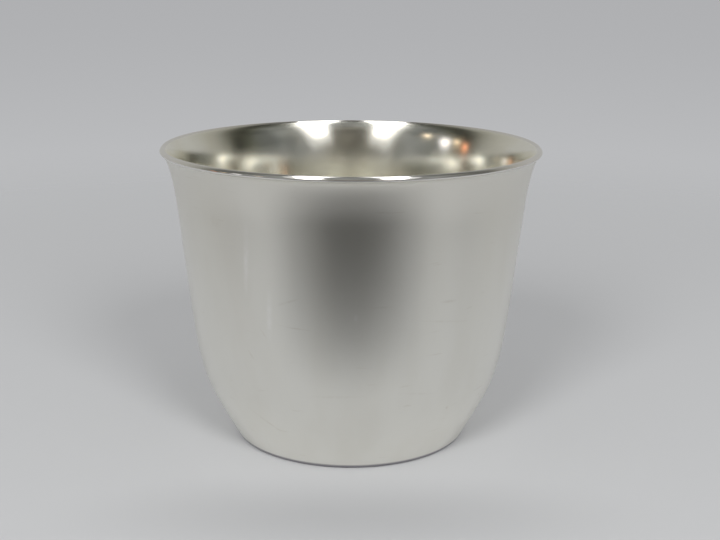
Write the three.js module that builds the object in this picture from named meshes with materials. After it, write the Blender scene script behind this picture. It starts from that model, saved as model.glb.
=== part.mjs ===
// A small footless drinking cup in silver. A spun wall leans out from the foot, rounds up at the
// shoulder and flares at the lip. A drawn wire is soldered round the lip, and a slightly domed
// disc is let into the foot and soldered from below. Units are millimetres and +Z is up. The
// origin is the centre of the flat ring that the cup stands on.
import * as THREE from "three";

const degrees = THREE.MathUtils.degToRad;

// Overall sizes
const CUP_HEIGHT = 62.8; // from the foot's flat to the top of the rim
const RIM_RADIUS = 40; // widest point of the rim
const FOOT_RADIUS = 24.2; // outer edge of the foot's flat

// Wall. Every lean is an angle from the vertical, outwards.
const WALL_THICKNESS = 0.9;
const FOOT_ROUND = 0.8; // radius of the foot's outer corner
const FOOT_LEAN = degrees(28);
const SHOULDER_RADIUS = 34.6; // where the bowl's curve runs out into the straight wall
const SHOULDER_HEIGHT = 31;
const FLARE_DEPTH = 12.6; // from the top of the rim down to where the flare starts
const FLARE_REACH = 3.3; // how far the rim stands out beyond the wall there
const LIP_LEAN = degrees(52);
const BOWL_HANDLE_SHARES = [0.41, 0.6]; // curve handles, as shares of the curve's chord
const FLARE_HANDLE_SHARES = [0.52, 0.12];

// Rim wire: flat faces, with the two upper corners rounded
const WIRE_WIDTH = 1.1; // across the wall
const WIRE_HEIGHT = 0.7; // along the wall
const WIRE_ROUND = 0.2;

// Base disc
const DISC_THICKNESS = 1;
const DISC_CROWN = 0.8; // rise of the middle above the edge
const DISC_MARGIN = 2.5; // flat border outside the crown
const FOOT_RECESS = 1.2; // from the foot's flat up to the underside of the disc's edge

// Solder
const SOLDER_FILM = 0.05; // clearance that the solder fills between two pieces
const SOLDER_LEG = 0.5; // height and width of the fillet under the disc
const SOLDER_HOLLOW_SHARE = 0.6; // how far the fillet's face draws back to its corner

// Steps of the turned surfaces
const TURN_STEPS = 72;
const ROUND_STEPS = 3;
const BOWL_STEPS = 13;
const FLARE_STEPS = 10;
const CROWN_STEPS = 4;
const FILLET_STEPS = 3;

// In the profiles below, x is the distance from the axis and y the height.
const point = (radius, height) => new THREE.Vector2(radius, height);
const upAlong = (lean) => point(Math.sin(lean), Math.cos(lean));
const outFrom = (lean) => point(Math.cos(lean), -Math.sin(lean));
const stepped = (start, ...moves) =>
  moves.reduce((at, [direction, length]) => at.addScaledVector(direction, length), start.clone());

// Rim wire's middle, placed so that its upper corners reach the rim's radius and the cup's height
const wireUp = upAlong(LIP_LEAN);
const wireOut = outFrom(LIP_LEAN);
const wireFlatWidth = WIRE_WIDTH / 2 - WIRE_ROUND;
const wireFlatHeight = WIRE_HEIGHT / 2 - WIRE_ROUND;
const outerCorner = point(
  RIM_RADIUS - WIRE_ROUND,
  CUP_HEIGHT - WIRE_ROUND + 2 * wireFlatWidth * wireOut.y,
);
const wireMiddle = stepped(outerCorner, [wireOut, -wireFlatWidth], [wireUp, -wireFlatHeight]);

// Wall's outer face, from the foot to the lip
const footCorner = point(FOOT_RADIUS, FOOT_ROUND);
const bowlStart = stepped(footCorner, [outFrom(FOOT_LEAN), FOOT_ROUND]);
const shoulder = point(SHOULDER_RADIUS, SHOULDER_HEIGHT);
const neck = point(RIM_RADIUS - FLARE_REACH, CUP_HEIGHT - FLARE_DEPTH);
const lip = stepped(
  wireMiddle,
  [wireOut, WIRE_WIDTH / 2],
  [wireUp, -WIRE_HEIGHT / 2 - SOLDER_FILM],
);
const wallLean = Math.atan2(neck.x - shoulder.x, neck.y - shoulder.y);

// A smooth curve between two points of a profile that leaves and arrives at the given leans
function sweep(start, startLean, end, endLean, handleShares) {
  const chord = start.distanceTo(end);
  const startHandle = stepped(start, [upAlong(startLean), handleShares[0] * chord]);
  const endHandle = stepped(end, [upAlong(endLean), -handleShares[1] * chord]);
  return new THREE.CubicBezierCurve(start, startHandle, endHandle, end);
}

const bowlCurve = sweep(bowlStart, FOOT_LEAN, shoulder, wallLean, BOWL_HANDLE_SHARES);
const flareCurve = sweep(neck, wallLean, lip, LIP_LEAN, FLARE_HANDLE_SHARES);

// Points along a curve, with the lean of the curve at each
function leaningPoints(curve, steps) {
  return Array.from({ length: steps + 1 }, (_, i) => {
    const along = curve.getTangent(i / steps);
    return { at: curve.getPoint(i / steps), lean: Math.atan2(along.x, along.y) };
  });
}

const wallPoints = [
  ...leaningPoints(bowlCurve, BOWL_STEPS),
  ...leaningPoints(flareCurve, FLARE_STEPS),
];
const outerFace = wallPoints.map(({ at }) => at);

// Wall's inner face, one thickness inside the outer face and cut level with the foot's flat
const innerBowl = wallPoints.map(({ at, lean }) => stepped(at, [outFrom(lean), -WALL_THICKNESS]));
const innerFoot = point(innerBowl[0].x - innerBowl[0].y * Math.tan(FOOT_LEAN), 0);
const innerFace = [innerFoot, ...innerBowl];

// Point of the inner face at a height, and the stretch of the inner face between two heights
function innerFaceAt(height) {
  const above = innerFace.findIndex(({ y }) => y >= height);
  const low = innerFace[above - 1];
  const high = innerFace[above];
  return low.clone().lerp(high, (height - low.y) / (high.y - low.y));
}

function innerFaceBetween(low, high) {
  const between = innerFace.filter(({ y }) => y > low && y < high);
  return [innerFaceAt(low), ...between.map((at) => at.clone()), innerFaceAt(high)];
}

// Points of a corner's round from one direction to another, both measured from the +x direction
function roundedCorner(middle, radius, from, to) {
  return Array.from({ length: ROUND_STEPS + 1 }, (_, i) => {
    const angle = THREE.MathUtils.lerp(from, to, i / ROUND_STEPS);
    return stepped(middle, [point(Math.cos(angle), Math.sin(angle)), radius]);
  });
}

function cupBodyProfile() {
  const footRound = roundedCorner(footCorner, FOOT_ROUND, -Math.PI / 2, -FOOT_LEAN);
  const outside = [...footRound, ...outerFace.slice(1)];
  const inside = innerFace.slice().reverse();
  return [...outside, ...inside, outside[0]];
}

function rimWireProfile() {
  const corner = (across, along) =>
    stepped(wireMiddle, [wireOut, across], [wireUp, along]);
  const outerRound = corner(wireFlatWidth, wireFlatHeight);
  const innerRound = corner(-wireFlatWidth, wireFlatHeight);
  const outwards = -LIP_LEAN;
  const upwards = outwards + Math.PI / 2;
  const start = corner(WIRE_WIDTH / 2, -WIRE_HEIGHT / 2);
  return [
    start,
    ...roundedCorner(outerRound, WIRE_ROUND, outwards, upwards),
    ...roundedCorner(innerRound, WIRE_ROUND, upwards, outwards + Math.PI),
    corner(-WIRE_WIDTH / 2, -WIRE_HEIGHT / 2),
    start,
  ];
}

const discUnder = FOOT_RECESS;
const discTop = discUnder + DISC_THICKNESS;

// Points of a shallow dome from the axis to the edge of the crown
function crownPoints(edgeRadius, edgeHeight) {
  const domeRadius = (edgeRadius ** 2 + DISC_CROWN ** 2) / (2 * DISC_CROWN);
  const centreHeight = edgeHeight + DISC_CROWN - domeRadius;
  return Array.from({ length: CROWN_STEPS + 1 }, (_, i) => {
    const radius = (edgeRadius * i) / CROWN_STEPS;
    return point(radius, centreHeight + Math.sqrt(domeRadius ** 2 - radius ** 2));
  });
}

function baseDiscProfile() {
  const bevel = innerFaceBetween(discUnder, discTop).map(({ x, y }) => point(x - SOLDER_FILM, y));
  const crownRadius = bevel[0].x - DISC_MARGIN;
  return [
    ...crownPoints(crownRadius, discUnder),
    ...bevel,
    ...crownPoints(crownRadius, discTop).reverse(),
  ];
}

function baseSolderProfile() {
  const wallSide = innerFaceBetween(discUnder - SOLDER_LEG, discUnder);
  const corner = wallSide[wallSide.length - 1];
  const discEnd = point(corner.x - SOLDER_LEG, discUnder);
  const wallEnd = wallSide[0];
  const middle = discEnd.clone().lerp(wallEnd, 1 / 2);
  const hollow = middle.lerp(corner, SOLDER_HOLLOW_SHARE);
  const face = new THREE.QuadraticBezierCurve(discEnd, hollow, wallEnd).getPoints(FILLET_STEPS);
  return [...face, ...wallSide.slice(1), face[0]];
}

// Each piece is turned about one axis, and has its own material.
function turnedPiece(name, profile, color, roughness) {
  const geometry = new THREE.LatheGeometry(profile, TURN_STEPS);
  const material = new THREE.MeshStandardMaterial({ color, roughness, metalness: 1 });
  const piece = new THREE.Mesh(geometry, material);
  piece.name = name;
  return piece;
}

// The turning axis is the group's Y, which a quarter turn stands upright.
const turned = new THREE.Group();
turned.add(
  turnedPiece("cup_body", cupBodyProfile(), 0xd9d6cd, 0.28),
  turnedPiece("rim_wire", rimWireProfile(), 0xe2e0d8, 0.14),
  turnedPiece("base_disc", baseDiscProfile(), 0xcfccc2, 0.32),
  turnedPiece("base_solder", baseSolderProfile(), 0xb9b5a8, 0.45),
);
turned.rotation.x = Math.PI / 2;

const cup = new THREE.Group();
cup.name = "cup";
cup.add(turned);

export default cup;
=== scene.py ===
"""A small footless silver cup on a pale floor, seen from a little above its rim.

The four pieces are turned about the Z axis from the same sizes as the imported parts, with finer
steps, worn corners and the slight unevenness of spun metal. Lengths are millimetres until a mesh,
a node, a lamp or the camera is made, and MM turns them into metres.
"""
import math

import bpy
from mathutils import Matrix, Vector


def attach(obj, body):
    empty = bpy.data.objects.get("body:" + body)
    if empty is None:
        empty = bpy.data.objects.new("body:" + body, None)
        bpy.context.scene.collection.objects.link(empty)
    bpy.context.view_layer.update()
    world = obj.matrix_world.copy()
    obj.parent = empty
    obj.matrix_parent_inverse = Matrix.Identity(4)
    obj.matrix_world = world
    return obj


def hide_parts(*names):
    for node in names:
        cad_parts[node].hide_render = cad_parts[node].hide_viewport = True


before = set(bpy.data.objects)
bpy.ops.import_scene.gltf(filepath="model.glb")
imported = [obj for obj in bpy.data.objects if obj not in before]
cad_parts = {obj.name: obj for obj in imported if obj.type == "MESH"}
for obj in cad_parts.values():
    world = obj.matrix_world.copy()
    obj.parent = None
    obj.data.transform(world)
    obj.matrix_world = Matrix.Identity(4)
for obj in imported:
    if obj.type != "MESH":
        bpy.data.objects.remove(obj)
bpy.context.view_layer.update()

MM = 0.001

# Cup sizes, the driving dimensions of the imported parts
CUP_HEIGHT = 62.8
RIM_RADIUS = 40.0
FOOT_RADIUS = 24.2
WALL_THICKNESS = 0.9
FOOT_ROUND = 0.8
FOOT_LEAN = math.radians(28)
SHOULDER_RADIUS = 34.6
SHOULDER_HEIGHT = 31.0
FLARE_DEPTH = 12.6
FLARE_REACH = 3.3
LIP_LEAN = math.radians(52)
BOWL_HANDLE_SHARES = (0.41, 0.6)
FLARE_HANDLE_SHARES = (0.52, 0.12)
WIRE_WIDTH = 1.1
WIRE_HEIGHT = 0.7
WIRE_ROUND = 0.2
DISC_THICKNESS = 1.0
DISC_CROWN = 0.8
DISC_MARGIN = 2.5
FOOT_RECESS = 1.2
SOLDER_FILM = 0.05
SOLDER_LEG = 0.5
SOLDER_HOLLOW_SHARE = 0.6

# What only the scene has: how far below the lip the wall begins to swell inwards, the wire's
# crown, which is an ellipse at the power 1 and flatter on top at a lower one, and worn edges
LIP_SWELL = 26.0
WIRE_CROWN = 0.38
CROWN_POWER = 0.8
WORN_EDGE = 0.12

# Fine steps, and the angle from which an edge stays sharp
TURN_STEPS = 288
BOWL_STEPS = 72
WALL_STEPS = 16
FLARE_STEPS = 48
CORNER_STEPS = 8
CROWN_STEPS = 24
SHARP_ANGLE = math.radians(24)

# Waves left in the spun wall: times round the turn, cycles up the wall, phase, depth
WAVES = (
    (2, 0.0, 0.4, 0.030),
    (3, 1.0, 1.9, 0.014),
    (5, 1.5, 4.1, 0.008),
    (7, 2.0, 2.7, 0.005),
    (11, 3.0, 0.9, 0.003),
)
WAVE_ROOM = sum(depth for *_, depth in WAVES)

# The front has been pushed in a little below the lip: how far, and the heights of its slope
PUSHED_IN = 0.52
PUSHED_SLOPE = (53.0, 62.5)

# Waves and push grow from nothing at the foot to their full depth at this share of the height
FULL_DEPTH_SHARE = 0.25

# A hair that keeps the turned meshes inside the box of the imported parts
BOX_HAIR = 0.004

# Camera of the photograph, which stands in front of the cup and a little left of its axis. Its
# angles are radians.
CAMERA_PLACE = (-0.47, -251.46, 100.29)
CAMERA_PITCH = 0.2526
CAMERA_YAW = 0.0098
CAMERA_ROLL = 0.0057
PHOTO_WIDTH = 720
PHOTO_FOCAL_LENGTH = 1200
SENSOR_WIDTH = 36.0
CLIP_START = 10.0
CLIP_END = 20000.0
GLOSSY_BOUNCES = 8

# Which of a piece's materials a surface has
OUTSIDE, INSIDE = 0, 1

UPWARDS = Vector((0, 0, 1))


# Directions in a section, whose points are distances from the axis and heights. A lean is an
# angle from upwards to outwards.
def along(lean):
    return Vector((math.sin(lean), math.cos(lean)))


def out_from(lean):
    return Vector((math.cos(lean), -math.sin(lean)))


def lean_of(direction):
    return math.atan2(direction.x, direction.y)


# Curves
def smooth(share):
    """From 0 to 1 with level ends, for a share that is held between them."""
    held = min(1.0, max(0.0, share))
    return held * held * (3 - 2 * held)


def bezier(start, start_lean, end, end_lean, shares, steps):
    """Points of a smooth curve between two leans, each with the curve's lean there."""
    chord = (end - start).length
    first = start + along(start_lean) * shares[0] * chord
    last = end - along(end_lean) * shares[1] * chord
    made = []
    for i in range(steps + 1):
        t = i / steps
        s = 1 - t
        at = s**3 * start + 3 * s * s * t * first + 3 * s * t * t * last + t**3 * end
        way = s * s * (first - start) + 2 * s * t * (last - first) + t * t * (end - last)
        made.append((at, lean_of(way)))
    return made


def arc(middle, radius, start, end):
    """Points of an arc, its angles measured from outwards to upwards."""
    made = []
    for i in range(CORNER_STEPS + 1):
        angle = start + (end - start) * i / CORNER_STEPS
        made.append(middle + Vector((math.cos(angle), math.sin(angle))) * radius)
    return made


def rounded(first, corner, last):
    """Points of the curve that leaves for a corner and turns off to the last point."""
    made = []
    for i in range(CORNER_STEPS + 1):
        t = i / CORNER_STEPS
        made.append(first.lerp(corner, t).lerp(corner.lerp(last, t), t))
    return made


def worn(before, corner, after):
    """A sharp corner between two neighbours as a small round."""
    first = corner + (before - corner).normalized() * WORN_EDGE
    last = corner + (after - corner).normalized() * WORN_EDGE
    return rounded(first, corner, last)


# The rim wire's place, which the lip follows
wire_up = along(LIP_LEAN)
wire_out = out_from(LIP_LEAN)
wire_flat_width = WIRE_WIDTH / 2 - WIRE_ROUND
wire_flat_height = WIRE_HEIGHT / 2 - WIRE_ROUND
wire_corner = Vector(
    (RIM_RADIUS - WIRE_ROUND, CUP_HEIGHT - WIRE_ROUND + 2 * wire_flat_width * wire_out.y)
)
wire_middle = wire_corner - wire_out * wire_flat_width - wire_up * wire_flat_height

# The wall's outer face, as points and leans
foot_corner = Vector((FOOT_RADIUS, FOOT_ROUND))
bowl_start = foot_corner + out_from(FOOT_LEAN) * FOOT_ROUND
shoulder = Vector((SHOULDER_RADIUS, SHOULDER_HEIGHT))
neck = Vector((RIM_RADIUS - FLARE_REACH, CUP_HEIGHT - FLARE_DEPTH))
lip = wire_middle + wire_out * WIRE_WIDTH / 2 - wire_up * (WIRE_HEIGHT / 2 + SOLDER_FILM)
wall_lean = lean_of(neck - shoulder)

wall_points = bezier(
    bowl_start, FOOT_LEAN, shoulder, wall_lean, BOWL_HANDLE_SHARES, BOWL_STEPS
)
for step in range(1, WALL_STEPS):
    wall_points.append((shoulder.lerp(neck, step / WALL_STEPS), wall_lean))
wall_points += bezier(neck, wall_lean, lip, LIP_LEAN, FLARE_HANDLE_SHARES, FLARE_STEPS)


def thickness(height):
    """The wall swells inwards under the lip, so that the wire's inner side is flush with it."""
    swollen = smooth(1 - (lip.y - height) / LIP_SWELL)
    return WALL_THICKNESS + (WIRE_WIDTH - WALL_THICKNESS) * swollen


outer_face = [at for at, _ in wall_points]
inner_bowl = [at - out_from(lean) * thickness(at.y) for at, lean in wall_points]
inner_foot = Vector((inner_bowl[0].x - inner_bowl[0].y * math.tan(FOOT_LEAN), 0))
inner_face = [inner_foot] + inner_bowl

disc_under = FOOT_RECESS
disc_top = FOOT_RECESS + DISC_THICKNESS


def inner_face_at(height):
    above = next(i for i, at in enumerate(inner_face) if at.y >= height)
    low, high = inner_face[above - 1], inner_face[above]
    return low.lerp(high, (height - low.y) / (high.y - low.y))


def inner_face_between(low, high):
    between = [at for at in inner_face if low < at.y < high]
    return [inner_face_at(low)] + between + [inner_face_at(high)]


# Profiles. Each is a list of points, and each point has the surface that starts there.
def wall_profile():
    """Once round the wall's section: outside up, across the lip, inside down, foot."""
    foot = arc(foot_corner, FOOT_ROUND, -math.pi / 2, -FOOT_LEAN)
    outside = foot + outer_face[1:]
    inside = inner_face[::-1]
    foot_edge = worn(inside[-2], inside[-1], outside[0])
    profile = [(at, OUTSIDE) for at in outside]
    profile += [(at, INSIDE) for at in inside[:-1]]
    profile += [(at, OUTSIDE) for at in foot_edge]
    return profile


def rim_profile():
    """The wire's section: straight sides that are flush with the wall, and a crowned top."""
    crowned = []
    for i in range(CROWN_STEPS + 1):
        angle = math.pi * i / CROWN_STEPS
        across = math.copysign(abs(math.cos(angle)) ** CROWN_POWER, math.cos(angle))
        up = max(0.0, math.sin(angle)) ** CROWN_POWER
        reach = wire_out * WIRE_WIDTH / 2 * across
        crowned.append(wire_middle + reach + wire_up * WIRE_CROWN * up)
    low_inner = lip - wire_out * WIRE_WIDTH
    return [(at, OUTSIDE) for at in [lip] + crowned + [low_inner]]


def crown(edge_radius, edge_height):
    """Points from the axis to the edge of the disc's dome."""
    dome = (edge_radius**2 + DISC_CROWN**2) / (2 * DISC_CROWN)
    centre = edge_height + DISC_CROWN - dome
    radii = [edge_radius * i / CROWN_STEPS for i in range(CROWN_STEPS + 1)]
    return [Vector((r, centre + math.sqrt(dome**2 - r**2))) for r in radii]


def disc_profile():
    """From the axis out along the underside, up the bevelled edge and back along the top."""
    bevel = [at - Vector((SOLDER_FILM, 0)) for at in inner_face_between(disc_under, disc_top)]
    crown_radius = bevel[0].x - DISC_MARGIN
    under = crown(crown_radius, disc_under)
    top = crown(crown_radius, disc_top)[::-1]
    return [(at, OUTSIDE) for at in under + bevel] + [(at, INSIDE) for at in top]


def solder_profile():
    """The fillet of solder below the disc, hollow between the disc and the wall."""
    wall_side = inner_face_between(disc_under - SOLDER_LEG, disc_under)
    corner = wall_side[-1]
    wall_end = wall_side[0]
    disc_end = Vector((corner.x - SOLDER_LEG, disc_under))
    hollow = ((disc_end + wall_end) / 2).lerp(corner, SOLDER_HOLLOW_SHARE)
    face = rounded(disc_end, hollow, wall_end)
    return [(at, OUTSIDE) for at in face + wall_side[1:]]


# Meshes
def metres(lengths):
    return [length * MM for length in lengths]


def wave(turn, height):
    """How far the spun wall stands in or out there, from nothing at the foot's flat."""
    share = height / CUP_HEIGHT
    total = 0.0
    for times, cycles, phase, depth in WAVES:
        total += depth * math.cos(times * turn + phase + 2 * math.pi * cycles * share)
    front = max(0.0, -math.sin(turn)) ** 2
    low, high = PUSHED_SLOPE
    pushed = PUSHED_IN * front * smooth((high - height) / (high - low))
    return (total - WAVE_ROOM - pushed) * min(1.0, share / FULL_DEPTH_SHARE)


def ring_of(at):
    """A section point's places once round the cup, or its one place on the axis."""
    if at.x == 0:
        return [(0.0, 0.0, at.y * MM)]
    height = min(at.y, CUP_HEIGHT - BOX_HAIR)
    made = []
    for i in range(TURN_STEPS):
        turn = 2 * math.pi * i / TURN_STEPS
        radius = at.x - BOX_HAIR + wave(turn, at.y)
        place = (radius * math.cos(turn), radius * math.sin(turn), height)
        made.append(tuple(metres(place)))
    return made


def turned_mesh(name, profile, closed):
    """A lathe mesh. An open profile starts and ends on the axis, and a closed one joins up."""
    verts, faces, surfaces, rings = [], [], [], []
    for at, _ in profile:
        ring = ring_of(at)
        rings.append([len(verts) + i % len(ring) for i in range(TURN_STEPS)])
        verts += ring
    last = len(profile) if closed else len(profile) - 1
    for ring in range(last):
        low, high = rings[ring], rings[(ring + 1) % len(rings)]
        for i in range(TURN_STEPS):
            j = (i + 1) % TURN_STEPS
            corners = [low[i], low[j], high[j], high[i]]
            faces.append(list(dict.fromkeys(corners)))
            surfaces.append(profile[ring][1])
    mesh = bpy.data.meshes.new(name)
    mesh.from_pydata(verts, [], faces)
    mesh.polygons.foreach_set("material_index", surfaces)
    mesh.polygons.foreach_set("use_smooth", [True] * len(faces))
    mesh.set_sharp_from_angle(angle=SHARP_ANGLE)
    mesh.validate()
    mesh.update()
    return mesh


def turned_piece(name, profile, closed, node, materials):
    piece = bpy.data.objects.new(name, turned_mesh(name, profile, closed))
    bpy.context.scene.collection.objects.link(piece)
    for material in materials:
        piece.data.materials.append(material)
    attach(piece, "root")
    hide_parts(node)


# Nodes of the materials and of the world
class Nodes:
    """Short calls for building the nodes of a material or of the world."""

    def __init__(self, owner):
        owner.use_nodes = True
        self.tree = owner.node_tree
        self.tree.nodes.clear()

    def add(self, kind, **settings):
        node = self.tree.nodes.new(kind)
        for key, value in settings.items():
            setattr(node, key, value)
        return node

    def put(self, value, socket):
        """A number or colour is set on the socket, and another node's output is linked to it."""
        if isinstance(value, bpy.types.NodeSocket):
            self.tree.links.new(value, socket)
        else:
            socket.default_value = value

    def math(self, operation, first, second, clamp=False):
        node = self.add("ShaderNodeMath", operation=operation, use_clamp=clamp)
        self.put(first, node.inputs[0])
        self.put(second, node.inputs[1])
        return node.outputs["Value"]

    def vector(self, operation, first, second):
        node = self.add("ShaderNodeVectorMath", operation=operation)
        self.put(first, node.inputs[0])
        self.put(second, node.inputs[1])
        return node.outputs["Vector"]

    def scaled(self, vector, factor):
        node = self.add("ShaderNodeVectorMath", operation="SCALE")
        self.put(vector, node.inputs[0])
        self.put(factor, node.inputs["Scale"])
        return node.outputs["Vector"]

    def length(self, vector):
        node = self.add("ShaderNodeVectorMath", operation="LENGTH")
        self.put(vector, node.inputs[0])
        return node.outputs["Value"]

    def parts(self, vector):
        node = self.add("ShaderNodeSeparateXYZ")
        self.put(vector, node.inputs["Vector"])
        return node.outputs["X"], node.outputs["Y"], node.outputs["Z"]

    def flat(self, x, y):
        """A vector without a Z part."""
        node = self.add("ShaderNodeCombineXYZ")
        self.put(x, node.inputs["X"])
        self.put(y, node.inputs["Y"])
        return node.outputs["Vector"]

    def noise(self, vector, detail, roughness=0.5, scale=1.0):
        node = self.add("ShaderNodeTexNoise")
        self.put(vector, node.inputs["Vector"])
        self.put(scale, node.inputs["Scale"])
        self.put(detail, node.inputs["Detail"])
        self.put(roughness, node.inputs["Roughness"])
        return node.outputs["Fac"]

    def between(self, value, ends, results=(0.0, 1.0), curve="SMOOTHSTEP"):
        """The first result up to the first end, the second past the second, a slope between."""
        node = self.add("ShaderNodeMapRange", interpolation_type=curve)
        self.put(value, node.inputs["Value"])
        for key, number in zip(("From Min", "From Max", "To Min", "To Max"), (*ends, *results)):
            self.put(number, node.inputs[key])
        return node.outputs["Result"]

    def mix(self, factor, first, second, **settings):
        """A mix of two numbers, if the settings name no other kind."""
        node = self.add("ShaderNodeMix", **settings)
        self.put(factor, node.inputs["Factor"])
        self.put(first, node.inputs["A"])
        self.put(second, node.inputs["B"])
        return node.outputs["Result"]

    def blend(self, factor, first, second, **settings):
        """A mix of two colours."""
        return self.mix(factor, first, second, data_type="RGBA", **settings)

    def ramp(self, value, stops):
        """Colours at places along a line, with an even change between neighbours."""
        first, last = stops[0][0], stops[-1][0]
        node = self.add("ShaderNodeValToRGB")
        self.put(self.between(value, (first, last), curve="LINEAR"), node.inputs["Fac"])
        made = node.color_ramp.elements
        while len(made) < len(stops):
            made.new(position=0.5)
        for stop, (place, color) in zip(made, stops):
            stop.position = (place - first) / (last - first)
            stop.color = (*color, 1.0)
        return node.outputs["Color"]

    def first_mirrored(self):
        """1 for what a mirror shows the camera, and not for light that it throws on a surface."""
        path = self.add("ShaderNodeLightPath")
        direct = self.math("LESS_THAN", path.outputs["Diffuse Depth"], 1.0)
        return self.math("MULTIPLY", path.outputs["Is Glossy Ray"], direct)


class Surface(Nodes):
    """The nodes of one material, which start from the object's own coordinates."""

    def __init__(self, name):
        self.material = bpy.data.materials.new(name)
        super().__init__(self.material)
        self.object = self.add("ShaderNodeTexCoord").outputs["Object"]

    def finish(self, shader):
        output = self.add("ShaderNodeOutputMaterial")
        self.put(shader, output.inputs["Surface"])
        return self.material

    def grain(self, sizes, detail=2.0, roughness=0.5):
        """Noise with grains of the given sizes."""
        node = self.add("ShaderNodeMapping")
        self.put(self.object, node.inputs["Vector"])
        self.put([1 / size for size in metres(sizes)], node.inputs["Scale"])
        return self.noise(node.outputs["Vector"], detail, roughness)

    def bump(self, height, depth, strength, below=None):
        """Bumps, which can lie on other ones below them."""
        node = self.add("ShaderNodeBump")
        self.put(height, node.inputs["Height"])
        self.put(depth * MM, node.inputs["Distance"])
        self.put(strength, node.inputs["Strength"])
        if below is not None:
            self.put(below, node.inputs["Normal"])
        return node.outputs["Normal"]

    def round_the_cup(self):
        """The place on the wall as a flat sheet: millimetres round from the front, and up."""
        x, y, z = self.parts(self.object)
        turn = self.math("ARCTAN2", x, self.math("MULTIPLY", y, -1.0))
        around = self.math("MULTIPLY", turn, MARK_RADIUS)
        return self.flat(around, self.math("DIVIDE", z, MM))

    def strokes(self, sheet, marks):
        """Soft-edged strokes on that sheet, each as deep as its last number says."""
        total = 0.0
        for turn, height, length, width, lean, depth in marks:
            around = math.radians(turn) * MARK_RADIUS
            local = self.add("ShaderNodeMapping", vector_type="TEXTURE")
            self.put(sheet, local.inputs["Vector"])
            self.put((around, height, 0.0), local.inputs["Location"])
            self.put((0.0, 0.0, math.radians(lean)), local.inputs["Rotation"])
            self.put((length, width, 1.0), local.inputs["Scale"])
            away = self.length(local.outputs["Vector"])
            stroke = self.between(away, (0.0, 1.0), (depth, 0.0))
            total = self.math("ADD", stroke, total)
        return total

    def metal(self, color, roughness, normal=None, anisotropic=0.0, metallic=1.0):
        """Metal, whose shine is drawn out along the axis where it is anisotropic."""
        shader = self.add("ShaderNodeBsdfPrincipled")
        self.put(metallic, shader.inputs["Metallic"])
        self.put(color, shader.inputs["Base Color"])
        self.put(roughness, shader.inputs["Roughness"])
        if normal is not None:
            self.put(normal, shader.inputs["Normal"])
        if anisotropic:
            self.put(anisotropic, shader.inputs["Anisotropic"])
            self.put(QUARTER_TURN, shader.inputs["Anisotropic Rotation"])
            tangent = self.add("ShaderNodeTangent", direction_type="RADIAL", axis="Z")
            self.put(tangent.outputs["Tangent"], shader.inputs["Tangent"])
        return self.finish(shader.outputs["BSDF"])


# Metal colours
RIM_SILVER = (0.765, 0.747, 0.711, 1.0)
SATIN = (0.860, 0.852, 0.802, 1.0)
SATIN_WORN = (0.835, 0.824, 0.768, 1.0)
INSIDE_SILVER = (0.926, 0.912, 0.840, 1.0)
INSIDE_STAINED = (0.892, 0.868, 0.768, 1.0)
SILVER_DARK = (0.72, 0.69, 0.62, 1.0)
SILVER_BRIGHT = (0.975, 0.965, 0.940, 1.0)
# The colour of the painted shade at the foot's edge
FOOT_SHADE_COLOR = (0.30, 0.29, 0.31, 1.0)
QUARTER_TURN = 0.25

# Grain of the outside. Sizes are the grain's three sizes, ends are the noise values where it
# starts and where it is full, and a bump is its depth. Tool marks run round the cup, so their
# grains are long across and low. The outside stays rougher than 0.274 everywhere, because the
# denoiser takes fine marks away from anything smoother.
FINE_DETAIL = 3.0
BAND_SIZES = (90.0, 90.0, 5.0)
BAND_BUMP = 0.006
RING_SIZES = (60.0, 60.0, 1.1)
RING_BUMP = 0.0012
TOOL_STRENGTH = 0.5
SMUDGE_SIZES = (8.0, 8.0, 34.0)
SMUDGE_ENDS = (0.35, 0.75)
RUB_SIZES = (7.0, 7.0, 0.8)
RUB_ENDS = (0.68, 0.80)
RUB_DEPTH = 0.5
SATIN_ROUGHNESS = (0.277, 0.283)
SATIN_ANISOTROPY = 0.82

# Wear on the outside: turn from the front in degrees, height, half length, half width, lean of
# its length from level in degrees, and depth. Finer grain breaks the marks up.
MARK_RADIUS = 35.0
DARK_MARKS = (
    (-20.3, 37.4, 3.4, 0.40, 21.0, 0.45),
    (33.0, 36.7, 2.6, 0.45, -3.0, 0.60),
    (32.6, 32.6, 8.2, 0.35, -8.6, 0.35),
    (10.0, 36.9, 2.9, 0.35, 0.0, 0.35),
    (-34.0, 10.0, 6.8, 0.45, -27.6, 0.45),
    (38.8, 13.0, 0.55, 0.50, 0.0, 0.90),
    (58.6, 13.0, 0.60, 0.40, 0.0, 0.80),
    (-45.7, 51.5, 2.2, 1.60, -30.0, 0.35),
    (-29.9, 30.3, 1.7, 0.35, -54.0, 0.45),
    (-35.7, 25.0, 1.7, 0.35, -54.0, 0.40),
    (-5.5, 18.1, 8.5, 0.50, 2.0, 0.20),
    (24.0, 17.9, 6.0, 0.45, -8.0, 0.20),
    (112.0, 28.0, 7.0, 0.40, 5.0, 0.40),
    (151.0, 40.0, 3.0, 0.40, -14.0, 0.45),
    (-128.0, 21.0, 5.5, 0.45, 9.0, 0.40),
    (-163.0, 33.0, 9.0, 0.40, -3.0, 0.30),
)
BRIGHT_MARKS = (
    (-34.1, 45.1, 9.5, 0.85, 83.5, 0.75),
    (-27.0, 34.4, 7.0, 0.90, 86.0, 0.55),
    (1.5, 34.9, 1.1, 0.55, 90.0, 0.60),
    (96.0, 41.0, 7.5, 0.55, 88.0, 0.40),
    (-104.0, 38.0, 6.0, 0.50, 92.0, 0.40),
)
BREAK_SIZES = (1.4, 1.4, 1.4)
BREAK_ENDS = (0.30, 0.62)
BREAK_DEPTHS = (0.35, 1.0)

# Heights of the painted shade at the foot's edge, where the cup meets the floor, and of the slow
# darkening towards the lip
FOOT_SHADE_HEIGHTS = (0.50, 1.05)
LIP_DARKENING_REACH = (20.0, 66.0)
LIP_DARKENING_DEPTH = 0.40

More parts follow.
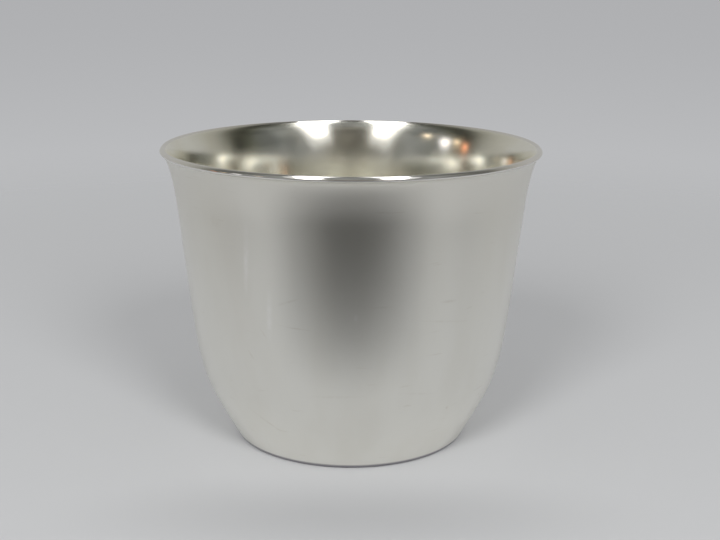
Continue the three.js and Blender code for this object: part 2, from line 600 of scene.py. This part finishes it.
# Grain of the other surfaces
INSIDE_RING_SIZES = (50.0, 50.0, 0.8)
INSIDE_RING_ROUGHNESS = 0.6
INSIDE_RING_BUMP = 0.004
INSIDE_STAIN_SIZES = (9.0, 9.0, 9.0)
INSIDE_STAIN_ENDS = (0.35, 0.75)
INSIDE_ROUGHNESS = (0.17, 0.20)
INSIDE_ANISOTROPY = 0.5
NICK_SIZES = (1.6, 1.6, 1.6)
NICK_ENDS = (0.3, 0.7)
NICK_BUMP = 0.003
NICK_STRENGTH = 0.4
RIM_ROUGHNESS = (0.09, 0.12)
RIM_ANISOTROPY = 0.5
RIM_METALLIC = 0.9
BASE_STAIN_SIZES = (8.0, 8.0, 8.0)
BASE_STAIN_DETAIL = 4.0
BASE_STAIN_ENDS = (0.4, 0.7)
BASE_ROUGHNESS = (0.29, 0.38)
SOLDER_GRAIN_SIZES = (0.4, 0.4, 0.4)
SOLDER_BUMP = 0.02
SOLDER_STRENGTH = 0.6
SOLDER_ROUGHNESS = 0.42


def worn_color(n, smudge):
    """Smudged and rubbed silver with its wear marks."""
    rubs = n.between(n.grain(RUB_SIZES), RUB_ENDS)
    color = n.blend(smudge, SATIN, SATIN_WORN)
    color = n.blend(n.math("MULTIPLY", rubs, RUB_DEPTH), color, SILVER_DARK)
    sheet = n.round_the_cup()
    broken = n.between(n.grain(BREAK_SIZES), BREAK_ENDS, BREAK_DEPTHS)
    for marks, mark_color in ((DARK_MARKS, SILVER_DARK), (BRIGHT_MARKS, SILVER_BRIGHT)):
        deep = n.math("MULTIPLY", n.strokes(sheet, marks), broken, clamp=True)
        color = n.blend(deep, color, mark_color)
    return color


def satin_silver():
    """The outside: polished round and round, then softened by years of hands and cloths."""
    n = Surface("satin_silver")
    smudge = n.between(n.grain(SMUDGE_SIZES, FINE_DETAIL), SMUDGE_ENDS)
    height = n.parts(n.object)[2]
    # The outside's colour grows darker towards the lip
    lip_darkening = n.between(height, metres(LIP_DARKENING_REACH), (0.0, LIP_DARKENING_DEPTH))
    # Painted shade: a dark line along the foot's edge, where the cup meets the floor
    foot_shade = n.between(height, metres(FOOT_SHADE_HEIGHTS), (1.0, 0.0))
    color = n.blend(lip_darkening, worn_color(n, smudge), SILVER_DARK)
    color = n.blend(foot_shade, color, FOOT_SHADE_COLOR)
    roughness = n.between(smudge, (0.0, 1.0), SATIN_ROUGHNESS)
    bands = n.bump(n.grain(BAND_SIZES), BAND_BUMP, TOOL_STRENGTH)
    normal = n.bump(n.grain(RING_SIZES), RING_BUMP, TOOL_STRENGTH, below=bands)
    return n.metal(color, roughness, normal, SATIN_ANISOTROPY)


def polished_silver():
    """The inside: brighter, with the fine rings of the tool still in it."""
    n = Surface("polished_silver")
    rings = n.grain(INSIDE_RING_SIZES, FINE_DETAIL, INSIDE_RING_ROUGHNESS)
    stain = n.between(n.grain(INSIDE_STAIN_SIZES, FINE_DETAIL), INSIDE_STAIN_ENDS)
    color = n.blend(stain, INSIDE_SILVER, INSIDE_STAINED)
    roughness = n.between(stain, (0.0, 1.0), INSIDE_ROUGHNESS)
    normal = n.bump(rings, INSIDE_RING_BUMP, TOOL_STRENGTH)
    return n.metal(color, roughness, normal, INSIDE_ANISOTROPY)


def rim_silver():
    """The wire, which hands and lips keep bright."""
    n = Surface("polished_wire")
    nicks = n.grain(NICK_SIZES)
    roughness = n.between(nicks, NICK_ENDS, RIM_ROUGHNESS)
    normal = n.bump(nicks, NICK_BUMP, NICK_STRENGTH)
    return n.metal(RIM_SILVER, roughness, normal, RIM_ANISOTROPY, RIM_METALLIC)


def base_silver():
    """The underside, dull and stained."""
    n = Surface("stained_silver")
    stain = n.between(n.grain(BASE_STAIN_SIZES, BASE_STAIN_DETAIL), BASE_STAIN_ENDS)
    color = n.blend(stain, SATIN_WORN, SILVER_DARK)
    return n.metal(color, n.between(stain, (0.0, 1.0), BASE_ROUGHNESS))


def solder_silver():
    """Hard solder as it froze, never polished."""
    n = Surface("hard_solder")
    grain = n.grain(SOLDER_GRAIN_SIZES, FINE_DETAIL)
    return n.metal(SILVER_DARK, SOLDER_ROUGHNESS, n.bump(grain, SOLDER_BUMP, SOLDER_STRENGTH))


satin, polished = satin_silver(), polished_silver()
turned_piece("spun_wall", wall_profile(), True, "cup_body", (satin, polished))
turned_piece("lip_wire", rim_profile(), True, "rim_wire", (rim_silver(),))
turned_piece(
    "bottom_disc", disc_profile(), False, "base_disc", (base_silver(), polished)
)
turned_piece(
    "disc_solder", solder_profile(), True, "base_solder", (solder_silver(),)
)

# Stage. The metal mirrors a room that the camera doesn't see: it sees a plain pale one.
WHITE = (1.0, 1.0, 1.0, 1.0)
BLACK = (0.0, 0.0, 0.0, 1.0)
FLOOR_RADIUS = 450.0
FLOOR_FADE = (150.0, 430.0)
FLOOR_STEPS = 128
FLOOR_COLOR = (0.572, 0.578, 0.587, 1.0)
BACKDROP_LOW = (0.514, 0.520, 0.532, 1.0)
BACKDROP_HIGH = (0.430, 0.434, 0.446, 1.0)
BACKDROP_SLOPES = (-0.22, -0.02)
AMBIENT = (0.51, 0.51, 0.51, 1.0)

# Painted shadow ahead of the cup, for mirrors only: the floor there is painted dark, as the
# shadow of what stands behind the camera.
# The shares stretch it away from the cup, and to its left and right.
DARK_PLACE = (0.0, -151.0, 0.0)
DARK_REACH = (29.0, 100.0)
DARK_DEPTH = 1.0
DARK_AWAY_SHARE = 0.05
DARK_SIDE_SHARES = (0.61, 0.58)

# The floor has painted light round the foot, where the cup throws light on it, and a painted
# shadow in a dimmer spot ahead of it. Each is given as the camera sees it and as mirrors show it,
# and they show the spot nearer to the foot. A glow has its depths at both ends of its reach.
PAINTED_GLOW_REACH = (24.0, 48.0)
PAINTED_GLOW_SEEN = (0.08, 0.0)
PAINTED_GLOW_MIRRORED = (0.21, 0.03)
SPOT_SIDE_SHARE = 0.35
SPOT_SEEN_PLACE = (0.0, -46.5, 0.0)
SPOT_SEEN_REACH = (0.0, 22.0)
SPOT_SEEN_DEPTH = 0.18
SPOT_MIRRORED_PLACE = (0.0, -35.0, 0.0)
SPOT_MIRRORED_REACH = (0.0, 15.0)
SPOT_MIRRORED_DEPTH = 0.09

# Two soft boxes behind the camera light the floor, with a power for the left (-1) and for the
# right (1). In the metal each one shows as strips that lean over the cup, a bright core in a dim
# halo. A strip has its name, the azimuth and elevation of its foot and of its head in degrees,
# its width and its power. Each side's strips stand a few degrees further inwards than that.
LAMP_DISTANCE = 1200.0
LAMP_AZIMUTH = math.radians(24)
LAMP_ELEVATION = math.radians(33)
LAMP_WIDTH = 380.0
LAMP_HEIGHT = 510.0
LAMP_POWERS = {-1: 5.95, 1: 5.45}
STRIP_DISTANCE = 800.0
STRIP_STEP = 10.0
STRIPS = (
    ("halo", (23.0, 18.0), (52.0, 66.0), 240.0, 0.31),
    ("core", (25.4, 28.4), (163.0, 72.5), 154.0, 2.00),
)
STRIP_INWARDS = {-1: 2.7, 1: 1.7}

# What the metal mirrors above the floor: the dark room, and the pale backdrop behind the cup. The
# backdrop's top edge leans back, so the place in this list is a direction's part away from the
# camera, less a share of its part upwards.
BACKDROP_TOP_SHARE = 0.43
ROOM_COLORS = (
    (-1.09, (0.130, 0.121, 0.102)),
    (-1.04, (0.140, 0.132, 0.111)),
    (-0.98, (0.175, 0.174, 0.164)),
    (-0.88, (0.196, 0.200, 0.194)),
    (-0.70, (0.168, 0.175, 0.170)),
    (-0.50, (0.116, 0.121, 0.112)),
    (-0.38, (0.070, 0.072, 0.056)),
    (-0.26, (0.038, 0.039, 0.029)),
    (-0.13, (0.048, 0.048, 0.038)),
    (-0.03, (0.140, 0.138, 0.118)),
    (0.09, (0.270, 0.268, 0.240)),
    (0.30, (0.370, 0.366, 0.335)),
    (0.60, (0.440, 0.439, 0.425)),
)

# Unlit things stand about in the room, and the pale backdrop behind the cup has none of them
CLUTTER_SIZE = math.radians(11)
CLUTTER_SPREAD = (0.3, 0.7)
CLUTTER_DEPTH = 0.38
CLUTTER_ENDS = (-0.15, 0.05)

# Small lights of the room, in degrees: azimuth, elevation, half width, half height, and colour.
# Each is full up to the core's share of its size, and fades out at the edge's.
ROOM_LIGHTS = (
    (-57.5, 26.0, 2.6, 2.2, (2.60, 2.10, 1.50)),
    (-70.5, 17.5, 3.2, 3.6, (3.80, 3.70, 3.90)),
    (-80.0, 17.5, 2.2, 2.4, (2.80, 2.20, 1.50)),
    (-86.5, 12.5, 2.5, 2.7, (2.00, 0.80, 0.40)),
)
LIGHT_CORE_SHARE = 0.55
LIGHT_EDGE_SHARE = 1.45


def towards(azimuth, elevation):
    """The unit vector to a place round the cup. Azimuth 0 is in front, and grows to the right."""
    level = math.cos(elevation)
    return Vector(
        (math.sin(azimuth) * level, -math.cos(azimuth) * level, math.sin(elevation))
    )


def dark_ahead(n):
    """How dark the painted shadow makes the floor ahead of the cup, as mirrors show it."""
    x, y, _ = n.parts(n.vector("SUBTRACT", n.object, metres(DARK_PLACE)))
    left_share, right_share = DARK_SIDE_SHARES
    left = n.math("MULTIPLY", x, -left_share)
    right = n.math("MULTIPLY", x, right_share)
    aside = n.math("MAXIMUM", left, right)
    ahead = n.math("MAXIMUM", y, n.math("MULTIPLY", y, DARK_AWAY_SHARE))
    return n.between(n.length(n.flat(aside, ahead)), metres(DARK_REACH), (DARK_DEPTH, 0.0))


def shadow_spot(n, place, reach, depth):
    """A soft painted shadow on the floor, longer to the sides than towards the camera."""
    apart = n.vector("SUBTRACT", n.object, metres(place))
    counted = n.vector("MULTIPLY", apart, (SPOT_SIDE_SHARE, 1.0, 1.0))
    return n.between(n.length(counted), metres(reach), (depth, 0.0))


def floor_material():
    """Pale near the cup, and see-through further out, where the backdrop takes over."""
    n = Surface("floor")
    out = n.length(n.object)
    mirrored = n.first_mirrored()
    # Painted shadow: a dim spot on the floor ahead of the cup, and the dark floor ahead that only
    # mirrors show
    shadow_spot_seen = shadow_spot(n, SPOT_SEEN_PLACE, SPOT_SEEN_REACH, SPOT_SEEN_DEPTH)
    shadow_spot_mirrored = shadow_spot(n, SPOT_MIRRORED_PLACE, SPOT_MIRRORED_REACH, SPOT_MIRRORED_DEPTH)
    shade = n.mix(mirrored, shadow_spot_seen, n.math("MAXIMUM", dark_ahead(n), shadow_spot_mirrored))
    # Painted light: the floor is lighter round the foot, where the cup throws light on it
    painted_glow_seen = n.between(out, metres(PAINTED_GLOW_REACH), PAINTED_GLOW_SEEN)
    painted_glow_mirrored = n.between(out, metres(PAINTED_GLOW_REACH), PAINTED_GLOW_MIRRORED)
    painted_glow = n.mix(mirrored, painted_glow_seen, painted_glow_mirrored)
    matt = n.add("ShaderNodeBsdfDiffuse")
    n.put(n.blend(shade, n.blend(painted_glow, FLOOR_COLOR, WHITE), BLACK), matt.inputs["Color"])
    clear = n.add("ShaderNodeBsdfTransparent")
    faded = n.add("ShaderNodeMixShader")
    n.put(n.between(out, metres(FLOOR_FADE)), faded.inputs["Fac"])
    n.put(matt.outputs["BSDF"], faded.inputs[1])
    n.put(clear.outputs["BSDF"], faded.inputs[2])
    return n.finish(faded.outputs["Shader"])


def make_floor():
    turns = [2 * math.pi * i / FLOOR_STEPS for i in range(FLOOR_STEPS)]
    radius = FLOOR_RADIUS * MM
    verts = [(radius * math.cos(turn), radius * math.sin(turn), 0.0) for turn in turns]
    mesh = bpy.data.meshes.new("floor")
    mesh.from_pydata(verts, [], [list(range(FLOOR_STEPS))])
    mesh.materials.append(floor_material())
    floor = bpy.data.objects.new("floor", mesh)
    bpy.context.scene.collection.objects.link(floor)


def make_light(name, back, up, distance, size, power, shape):
    """An area lamp that faces the cup from the direction back."""
    width, height = metres(size)
    light = bpy.data.lights.new(name, "AREA")
    light.shape = shape
    light.size = width
    light.size_y = height
    light.energy = power
    lamp = bpy.data.objects.new(name, light)
    turn = Matrix((up.cross(back), up, back)).transposed()
    lamp.matrix_world = Matrix.Translation(back * distance * MM) @ turn.to_4x4()
    lamp.visible_camera = False
    bpy.context.scene.collection.objects.link(lamp)
    return lamp


def make_strip(name, side, distance, foot, head, width, power):
    """A strip for mirrors only, between the directions of its foot and its head."""
    low, high = (
        towards(side * math.radians(turn - STRIP_INWARDS[side]), math.radians(rise))
        for turn, rise in (foot, head)
    )
    back = (low + high).normalized()
    up = (high - low).normalized()
    size = (width, 2 * STRIP_DISTANCE * math.tan(low.angle(high) / 2))
    strip = make_light(name, back, up, distance, size, power, "RECTANGLE")
    strip.visible_diffuse = False


def make_lamps(name, side):
    """The lamp on the right (side 1) or the left (side -1), and its strips for mirrors."""
    back = towards(side * LAMP_AZIMUTH, LAMP_ELEVATION)
    up = back.cross(UPWARDS).normalized().cross(back)
    size = (LAMP_WIDTH, LAMP_HEIGHT)
    lamp = make_light(name, back, up, LAMP_DISTANCE, size, LAMP_POWERS[side], "ELLIPSE")
    lamp.visible_glossy = False
    for step, (part, *strip) in enumerate(STRIPS):
        make_strip(name + "_" + part, side, STRIP_DISTANCE - step * STRIP_STEP, *strip)


def with_light(n, direction, seen, azimuth, elevation, wide, tall, color):
    """What is seen of the room, with one of its small lights added."""
    middle = towards(math.radians(azimuth), math.radians(elevation))
    size = (math.radians(wide), math.radians(wide), math.radians(tall))
    away = n.length(n.vector("DIVIDE", n.vector("SUBTRACT", direction, middle), size))
    near = n.between(away, (LIGHT_EDGE_SHARE, LIGHT_CORE_SHARE))
    return n.blend(near, seen, (*color, 1.0), blend_type="ADD", clamp_result=False)


def mirrored_room(n, direction):
    """The room that the metal mirrors: its colours, the clutter in it and its small lights."""
    _, y, z = n.parts(direction)
    place = n.math("SUBTRACT", y, n.math("MULTIPLY", z, BACKDROP_TOP_SHARE))
    clutter = n.noise(direction, FINE_DETAIL, scale=1 / CLUTTER_SIZE)
    shade = n.between(clutter, CLUTTER_SPREAD, (1 - CLUTTER_DEPTH, 1 + CLUTTER_DEPTH))
    shade = n.mix(n.between(place, CLUTTER_ENDS), shade, 1.0)
    seen = n.scaled(n.ramp(place, ROOM_COLORS), shade)
    for light in ROOM_LIGHTS:
        seen = with_light(n, direction, seen, *light)
    return seen


def make_world():
    """A plain backdrop for the camera, even light for the floor, and the room for mirrors."""
    world = bpy.data.worlds.new("studio")
    bpy.context.scene.world = world
    n = Nodes(world)
    direction = n.add("ShaderNodeTexCoord").outputs["Generated"]
    height = n.parts(direction)[2]
    backdrop = n.blend(n.between(height, BACKDROP_SLOPES), BACKDROP_LOW, BACKDROP_HIGH)
    by_camera = n.add("ShaderNodeLightPath").outputs["Is Camera Ray"]
    plain = n.blend(by_camera, AMBIENT, backdrop)
    shown = n.blend(n.first_mirrored(), plain, mirrored_room(n, direction))
    shine = n.add("ShaderNodeBackground")
    n.put(shown, shine.inputs["Color"])
    output = n.add("ShaderNodeOutputWorld")
    n.put(shine.outputs["Background"], output.inputs["Surface"])


def make_camera():
    """The photograph's camera: its place, and where it looks, with a slight roll."""
    pitch, yaw, roll = CAMERA_PITCH, CAMERA_YAW, CAMERA_ROLL
    level = math.cos(pitch)
    forward = Vector((math.sin(yaw) * level, math.cos(yaw) * level, -math.sin(pitch)))
    right = forward.cross(UPWARDS).normalized()
    up = right.cross(forward)
    rolled_right = right * math.cos(roll) + up * math.sin(roll)
    rolled_up = up * math.cos(roll) - right * math.sin(roll)
    data = bpy.data.cameras.new("camera")
    data.sensor_width = SENSOR_WIDTH
    data.lens = PHOTO_FOCAL_LENGTH / PHOTO_WIDTH * SENSOR_WIDTH
    data.clip_start = CLIP_START * MM
    data.clip_end = CLIP_END * MM
    camera = bpy.data.objects.new("camera", data)
    turn = Matrix((rolled_right, rolled_up, -forward)).transposed()
    camera.matrix_world = Matrix.Translation(Vector(CAMERA_PLACE) * MM) @ turn.to_4x4()
    bpy.context.scene.collection.objects.link(camera)
    bpy.context.scene.camera = camera


make_floor()
make_lamps("lamp_left", -1)
make_lamps("lamp_right", 1)
make_world()
make_camera()
bpy.context.scene.view_settings.view_transform = "Standard"
bpy.context.scene.cycles.glossy_bounces = GLOSSY_BOUNCES
